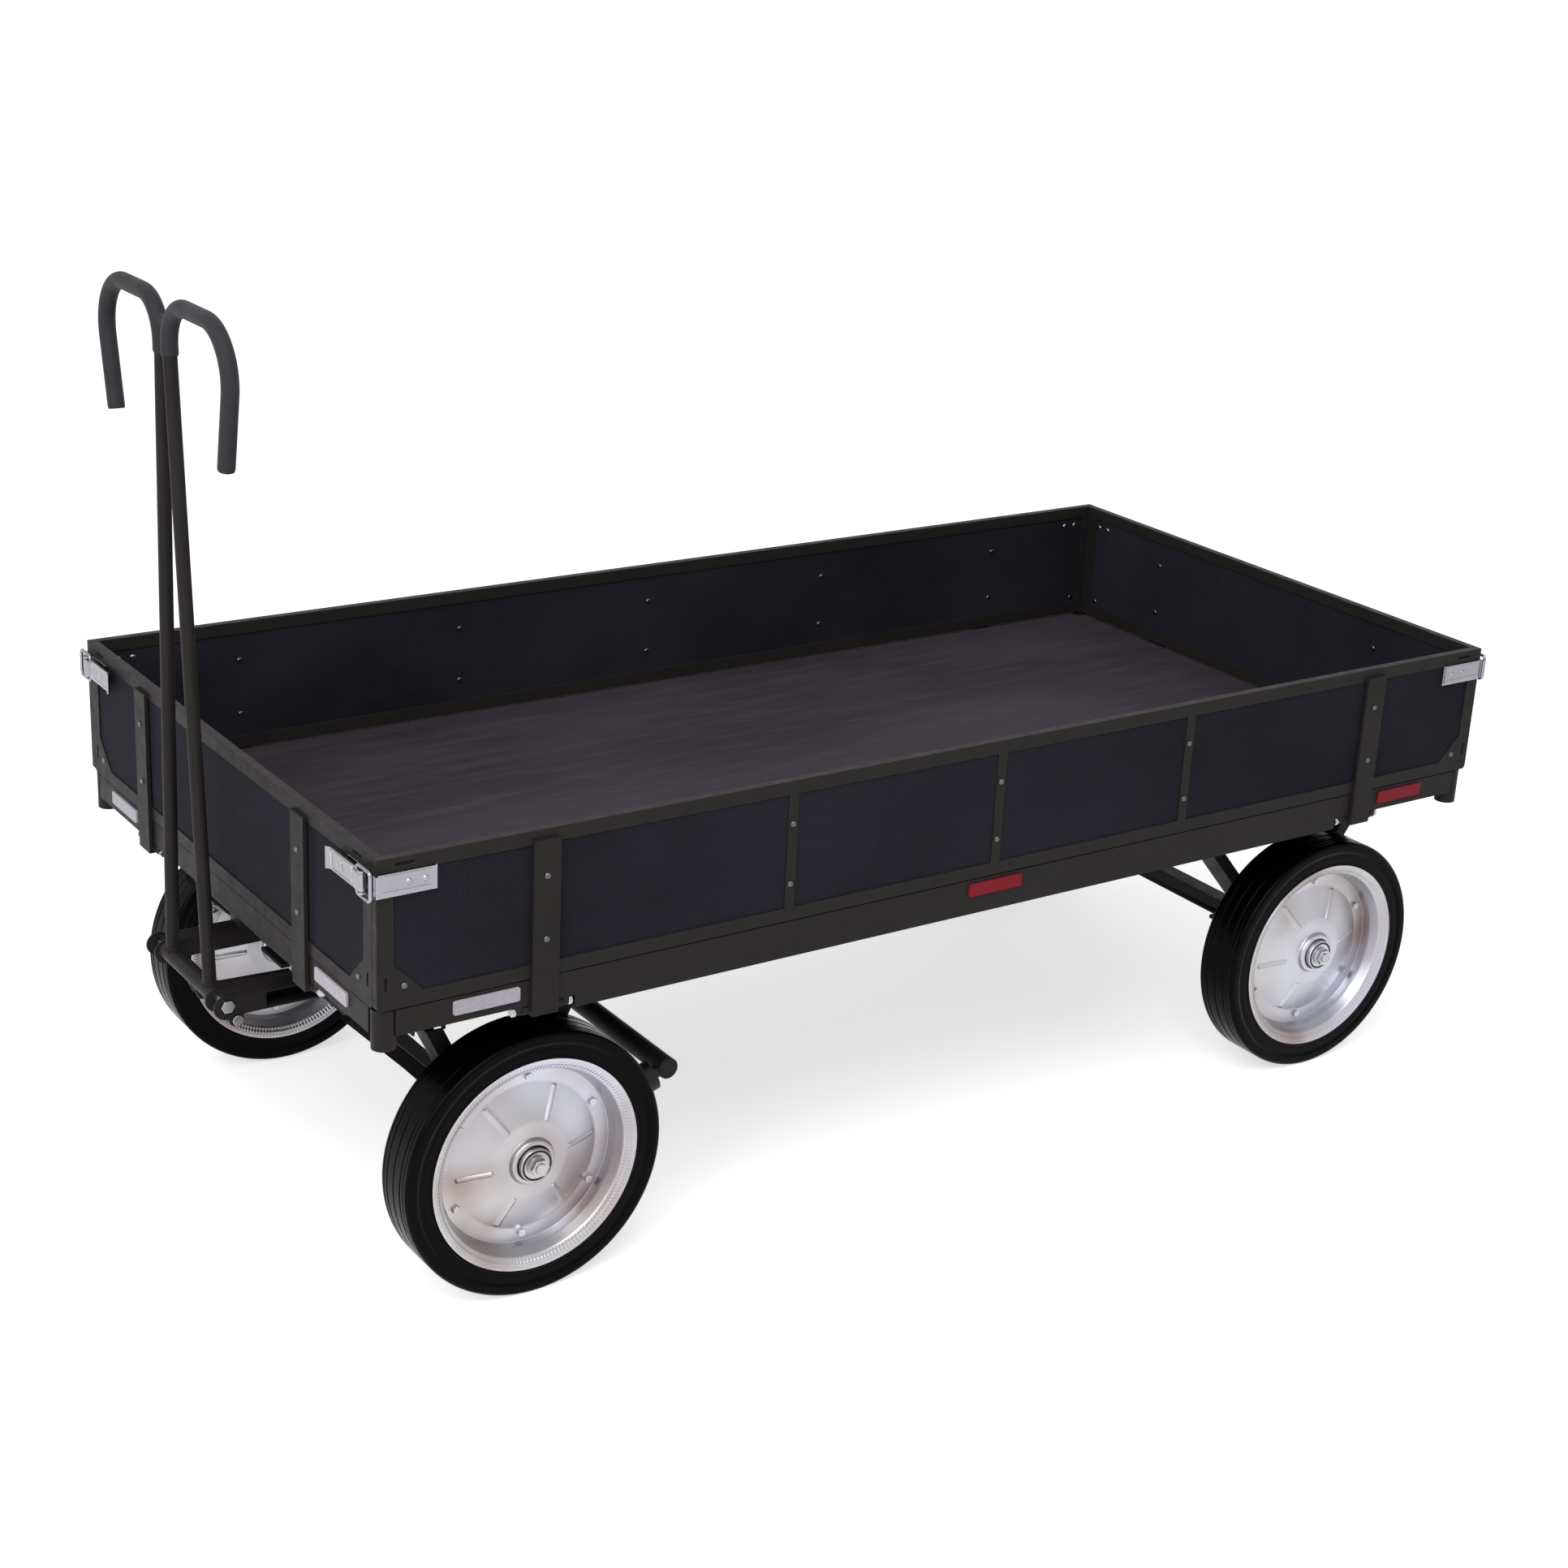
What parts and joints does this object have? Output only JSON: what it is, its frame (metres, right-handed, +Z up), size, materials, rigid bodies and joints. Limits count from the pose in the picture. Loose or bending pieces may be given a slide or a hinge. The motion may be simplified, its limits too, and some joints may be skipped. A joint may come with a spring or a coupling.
{
  "type": "platform hand cart",
  "caption": "Flatbed hand cart with fold-down plywood side walls, a turntable front bogie, solid rubber wheels and an upright drawbar with two horn grips that releases a parking brake.",
  "frame": {"origin": "on the ground under the middle of the overall box", "axes": "+X forward, to the drawbar; +Y to the cart's left; +Z up"},
  "size_m": [2.0832, 1.0164, 1.3478],
  "materials": {
    "black_steel": "black powder coat, satin",
    "panel_ply": "film-faced plywood, near black",
    "deck_ply": "film-faced plywood, dark brown",
    "zinc": "zinc plated",
    "tyre": "solid black rubber",
    "grip_rubber": "soft charcoal sleeve",
    "pad_rubber": "black rubber block",
    "reflector_white": "clear prismatic reflector",
    "reflector_red": "red prismatic reflector"
  },
  "bodies": {
    "chassis": {"chassis_rails": "black_steel", "cross_members": "black_steel", "corner_sockets": "black_steel", "deck_board": "deck_ply", "hinge_lugs": "black_steel", "hinge_bolts": "zinc", "reflectors_white": "reflector_white", "reflectors_red": "reflector_red", "rear_axle": "black_steel", "rear_axle_nuts": "zinc", "rear_stands": "black_steel", "turntable_upper": "black_steel"},
    "bogie": {"turntable_lower": "black_steel", "bogie_frame": "black_steel", "bogie_arms": "black_steel", "bogie_bolts": "zinc", "front_axle": "black_steel", "front_axle_nuts": "zinc", "front_stands": "black_steel"},
    "drawbar": {"drawbar_frame": "black_steel", "drawbar_grips": "grip_rubber"},
    "brake": {"brake_bar": "black_steel", "brake_pads": "pad_rubber"},
    "brake_rod": {"brake_rod": "black_steel"},
    "front_left_wheel": {"front_left_tyre": "tyre", "front_left_rim": "zinc", "front_left_rim_bolts": "zinc"},
    "front_right_wheel": {"front_right_tyre": "tyre", "front_right_rim": "zinc", "front_right_rim_bolts": "zinc"},
    "rear_left_wheel": {"rear_left_tyre": "tyre", "rear_left_rim": "zinc", "rear_left_rim_bolts": "zinc"},
    "rear_right_wheel": {"rear_right_tyre": "tyre", "rear_right_rim": "zinc", "rear_right_rim_bolts": "zinc"},
    "left_wall": {"left_wall_frame": "black_steel", "left_wall_panel": "panel_ply", "left_wall_straps": "black_steel", "left_wall_fittings": "zinc"},
    "right_wall": {"right_wall_frame": "black_steel", "right_wall_panel": "panel_ply", "right_wall_straps": "black_steel", "right_wall_fittings": "zinc"},
    "front_wall": {"front_wall_frame": "black_steel", "front_wall_panel": "panel_ply", "front_wall_straps": "black_steel", "front_wall_fittings": "zinc"},
    "rear_wall": {"rear_wall_frame": "black_steel", "rear_wall_panel": "panel_ply", "rear_wall_straps": "black_steel", "rear_wall_fittings": "zinc"},
    "front_left_lever": {"front_left_lever": "zinc"},
    "front_left_bail": {"front_left_bail": "zinc"},
    "front_right_lever": {"front_right_lever": "zinc"},
    "front_right_bail": {"front_right_bail": "zinc"},
    "rear_left_lever": {"rear_left_lever": "zinc"},
    "rear_left_bail": {"rear_left_bail": "zinc"},
    "rear_right_lever": {"rear_right_lever": "zinc"},
    "rear_right_bail": {"rear_right_bail": "zinc"}
  },
  "joints": [
    {"name": "steer", "type": "hinge", "parent": "chassis", "child": "bogie", "pos_m": [0.71041, 0, 0.4525], "axis": [0, 0, 1], "range_deg": [-10, 10]},
    {"name": "drawbar_swing", "type": "hinge", "parent": "bogie", "child": "drawbar", "pos_m": [1.02141, 0, 0.375], "axis": [0, 1, 0], "range_deg": [0, 100]},
    {"name": "brake_release", "type": "hinge", "parent": "bogie", "child": "brake", "pos_m": [0.47941, 0, 0.371], "axis": [0, 1, 0], "range_deg": [0, 15]},
    {"name": "rod_tilt", "type": "hinge", "parent": "brake", "child": "brake_rod", "pos_m": [0.47941, 0, 0.326], "axis": [0, 1, 0], "range_deg": [-20, 0]},
    {"name": "front_left_spin", "type": "hinge", "parent": "bogie", "child": "front_left_wheel", "pos_m": [0.71041, 0.417, 0.2], "axis": [0, 1, 0], "continuous": true},
    {"name": "front_right_spin", "type": "hinge", "parent": "bogie", "child": "front_right_wheel", "pos_m": [0.71041, -0.417, 0.2], "axis": [0, 1, 0], "continuous": true},
    {"name": "rear_left_spin", "type": "hinge", "parent": "chassis", "child": "rear_left_wheel", "pos_m": [-0.78659, 0.417, 0.2], "axis": [0, 1, 0], "continuous": true},
    {"name": "rear_right_spin", "type": "hinge", "parent": "chassis", "child": "rear_right_wheel", "pos_m": [-0.78659, -0.417, 0.2], "axis": [0, 1, 0], "continuous": true},
    {"name": "left_wall_fold", "type": "hinge", "parent": "chassis", "child": "left_wall", "pos_m": [-0.02659, 0.493, 0.4635], "axis": [-1, 0, 0], "range_deg": [0, 165]},
    {"name": "right_wall_fold", "type": "hinge", "parent": "chassis", "child": "right_wall", "pos_m": [-0.02659, -0.493, 0.4635], "axis": [1, 0, 0], "range_deg": [0, 165]},
    {"name": "front_wall_fold", "type": "hinge", "parent": "chassis", "child": "front_wall", "pos_m": [0.96641, 0, 0.4635], "axis": [0, 1, 0], "range_deg": [0, 5]},
    {"name": "rear_wall_fold", "type": "hinge", "parent": "chassis", "child": "rear_wall", "pos_m": [-1.01959, 0, 0.4635], "axis": [0, -1, 0], "range_deg": [0, 165]},
    {"name": "front_left_lever_turn", "type": "hinge", "parent": "front_wall", "child": "front_left_lever", "pos_m": [0.98241, 0.478, 0.686], "axis": [0, 0, 1], "range_deg": [0, 110]},
    {"name": "front_left_bail_turn", "type": "hinge", "parent": "front_left_lever", "child": "front_left_bail", "pos_m": [0.98241, 0.464, 0.686], "axis": [0, 0, 1], "range_deg": [-110, 0]},
    {"name": "front_right_lever_turn", "type": "hinge", "parent": "front_wall", "child": "front_right_lever", "pos_m": [0.98241, -0.478, 0.686], "axis": [0, 0, -1], "range_deg": [0, 110]},
    {"name": "front_right_bail_turn", "type": "hinge", "parent": "front_right_lever", "child": "front_right_bail", "pos_m": [0.98241, -0.464, 0.686], "axis": [0, 0, -1], "range_deg": [-110, 0]},
    {"name": "rear_left_lever_turn", "type": "hinge", "parent": "rear_wall", "child": "rear_left_lever", "pos_m": [-1.03559, 0.478, 0.686], "axis": [0, 0, -1], "range_deg": [0, 110]},
    {"name": "rear_left_bail_turn", "type": "hinge", "parent": "rear_left_lever", "child": "rear_left_bail", "pos_m": [-1.03559, 0.464, 0.686], "axis": [0, 0, -1], "range_deg": [-110, 0]},
    {"name": "rear_right_lever_turn", "type": "hinge", "parent": "rear_wall", "child": "rear_right_lever", "pos_m": [-1.03559, -0.478, 0.686], "axis": [0, 0, 1], "range_deg": [0, 110]},
    {"name": "rear_right_bail_turn", "type": "hinge", "parent": "rear_right_lever", "child": "rear_right_bail", "pos_m": [-1.03559, -0.464, 0.686], "axis": [0, 0, 1], "range_deg": [-110, 0]}
  ],
  "couplings": [
    {"joint": "brake_release", "follows": "drawbar_swing", "ratio": 0.15},
    {"joint": "rod_tilt", "follows": "drawbar_swing", "ratio": -0.2},
    {"joint": "front_left_bail_turn", "follows": "front_left_lever_turn", "ratio": -1},
    {"joint": "front_right_bail_turn", "follows": "front_right_lever_turn", "ratio": -1},
    {"joint": "rear_left_bail_turn", "follows": "rear_left_lever_turn", "ratio": -1},
    {"joint": "rear_right_bail_turn", "follows": "rear_right_lever_turn", "ratio": -1}
  ]
}
